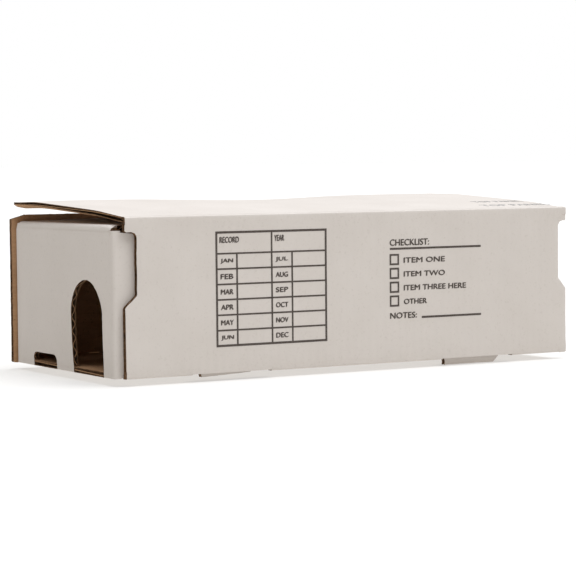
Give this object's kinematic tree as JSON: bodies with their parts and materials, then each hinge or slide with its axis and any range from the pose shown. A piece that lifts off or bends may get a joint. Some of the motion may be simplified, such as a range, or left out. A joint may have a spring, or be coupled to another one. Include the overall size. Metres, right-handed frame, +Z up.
{
  "type": "bait station",
  "caption": "Folded corrugated-board bait station with a hinged lid and arched entries, holding a snap trap and a glue card.",
  "frame": {"origin": "centre of the whole station on the ground plane, where the ends of the lock tabs stand", "axes": "+X along the station's length, +Y from the printed near wall to the plain far wall, +Z up"},
  "size_m": [0.2416, 0.11, 0.0789],
  "materials": {
    "carton_board": "matt white-topped corrugated board",
    "wood": "sawn softwood",
    "plated_wire": "plated spring wire",
    "pedal_plate": "stamped and plated",
    "bait": "soft paste",
    "card": "coated card",
    "glue": "wet tacky adhesive",
    "lure_rubber": "matt moulded rubber"
  },
  "bodies": {
    "carton": {"floor_panel": "carton_board", "near_wall": "carton_board", "far_wall": "carton_board", "left_end_panel": "carton_board", "right_end_panel": "carton_board", "near_left_corner_flap": "carton_board", "near_right_corner_flap": "carton_board", "far_left_corner_flap": "carton_board", "far_right_corner_flap": "carton_board", "trap_base": "wood", "trap_staples": "plated_wire", "trap_spring": "plated_wire", "glue_card": "card", "glue_layer": "glue", "lure_capsule": "lure_rubber"},
    "lid": {"lid": "carton_board"},
    "tuck_flap": {"lid_tuck_flap": "carton_board"},
    "left_dust_flap": {"left_dust_flap": "carton_board"},
    "right_dust_flap": {"right_dust_flap": "carton_board"},
    "striker": {"trap_striker": "plated_wire"},
    "hold_down_arm": {"trap_hold_down_arm": "plated_wire"},
    "bait_pedal": {"trap_bait_pedal": "pedal_plate", "bait_pellet": "bait"}
  },
  "joints": [
    {"name": "lid_fold", "type": "hinge", "parent": "carton", "child": "lid", "pos_m": [0, -0.055, 0.073], "axis": [1, 0, 0], "range_deg": [-3.2, 176.8]},
    {"name": "tuck_flap_fold", "type": "hinge", "parent": "lid", "child": "tuck_flap", "pos_m": [0, 0.04851, 0.07578], "axis": [1, 0, 0], "range_deg": [-70, 7]},
    {"name": "left_dust_flap_fold", "type": "hinge", "parent": "carton", "child": "left_dust_flap", "pos_m": [-0.11935, 0, 0.0694], "axis": [0, -1, 0], "range_deg": [-1.6, 88.4]},
    {"name": "right_dust_flap_fold", "type": "hinge", "parent": "carton", "child": "right_dust_flap", "pos_m": [0.11715, 0, 0.0694], "axis": [0, 1, 0], "range_deg": [-1.6, 88.4]},
    {"name": "striker_swing", "type": "hinge", "parent": "carton", "child": "striker", "pos_m": [-0.009, -0.024, 0.0148], "axis": [0, 1, 0], "range_deg": [0, 184.5], "deforming": ["trap_spring"]},
    {"name": "hold_down_arm_swing", "type": "hinge", "parent": "carton", "child": "hold_down_arm", "pos_m": [0.036, -0.024, 0.0147], "axis": [0, -1, 0], "range_deg": [0, 180.6]},
    {"name": "bait_pedal_tilt", "type": "hinge", "parent": "carton", "child": "bait_pedal", "pos_m": [-0.018, -0.024, 0.0152], "axis": [0, 1, 0], "range_deg": [-8, 8]}
  ],
  "couplings": [
    {"joint": "left_dust_flap_fold", "follows": "lid_fold", "ratio": 0.5},
    {"joint": "right_dust_flap_fold", "follows": "lid_fold", "ratio": 0.5}
  ]
}
